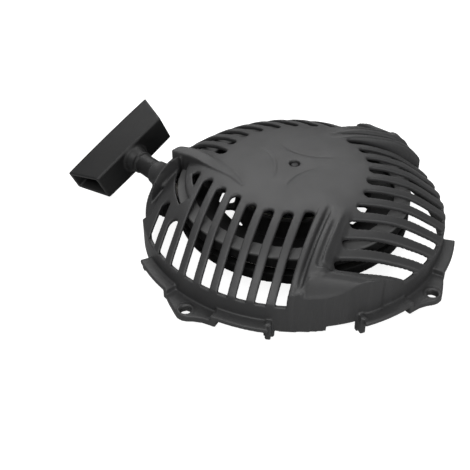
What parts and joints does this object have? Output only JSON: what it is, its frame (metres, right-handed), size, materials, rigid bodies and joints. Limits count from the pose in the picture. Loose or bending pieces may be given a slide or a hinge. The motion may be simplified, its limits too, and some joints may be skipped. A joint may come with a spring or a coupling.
{
  "type": "recoil starter",
  "caption": "Vented dome-shaped pull starter for a small vertical-shaft engine, with rope pulley, spring, pawls and T handle.",
  "frame": {"origin": "on the rotor axis, in the plane of the mounting ears' undersides", "axes": "+Z along the rotor axis towards the dome's top, -Y towards the front ears, the rope leaves towards -X +Y"},
  "size_m": [0.2466, 0.1937, 0.0534],
  "materials": {
    "housing_plastic": "satin black moulded, fine grain",
    "pulley_plastic": "black moulded",
    "guide_plastic": "dark grey moulded",
    "steel": "plain steel",
    "plated_steel": "zinc plated",
    "spring_steel": "oiled blue-grey spring steel",
    "rope": "braided"
  },
  "bodies": {
    "housing": {"starter_housing": "housing_plastic", "outlet_bush": "steel", "thrust_washer": "steel", "friction_washer": "steel", "flat_washer": "steel", "retaining_screw": "plated_steel"},
    "pulley": {"rope_pulley": "pulley_plastic", "spring_keeper": "plated_steel", "recoil_spring": "spring_steel", "rope_coil": "rope", "rope_knot_pulley": "rope", "pawl_spring_a": "spring_steel", "pawl_spring_b": "spring_steel"},
    "guide": {"pawl_guide_plate": "guide_plastic", "brake_spring": "spring_steel"},
    "pawl_a": {"pawl_a": "plated_steel"},
    "pawl_b": {"pawl_b": "plated_steel"},
    "rope_end": {"rope_strand": "rope", "rope_knot_grip": "rope", "grip_washer": "steel"},
    "handle": {"grip": "housing_plastic"}
  },
  "joints": [
    {"name": "pulley_spin", "type": "hinge", "parent": "housing", "child": "pulley", "pos_m": [0, 0, 0.0244], "axis": [0, 0, -1], "range_deg": [0, 1152], "stiffness_Nm_per_rad": 0.04, "deforming": ["recoil_spring"]},
    {"name": "rope_pull", "type": "slide", "parent": "housing", "child": "rope_end", "axis": [-0.7314, 0.682, 0], "range_m": [0, 1.19], "deforming": ["rope_strand"]},
    {"name": "grip_twist", "type": "hinge", "parent": "rope_end", "child": "handle", "pos_m": [-0.10472, 0.03759, 0.0244], "axis": [-0.7314, 0.682, 0], "range_deg": [-180, 180]},
    {"name": "guide_turn", "type": "hinge", "parent": "pulley", "child": "guide", "pos_m": [0, 0, 0.0065], "axis": [0, 0, 1], "range_deg": [0, 24]},
    {"name": "pawl_a_swing", "type": "hinge", "parent": "pulley", "child": "pawl_a", "pos_m": [0.02, 0, 0.0098], "axis": [0, 0, 1], "range_deg": [0, 30]},
    {"name": "pawl_b_swing", "type": "hinge", "parent": "pulley", "child": "pawl_b", "pos_m": [-0.02, 0, 0.0098], "axis": [0, 0, 1], "range_deg": [0, 30]}
  ],
  "couplings": [
    {"joint": "rope_pull", "follows": "pulley_spin", "m_per_rad": 0.0588},
    {"joint": "pawl_a_swing", "follows": "guide_turn", "ratio": 1.25},
    {"joint": "pawl_b_swing", "follows": "guide_turn", "ratio": 1.25}
  ]
}
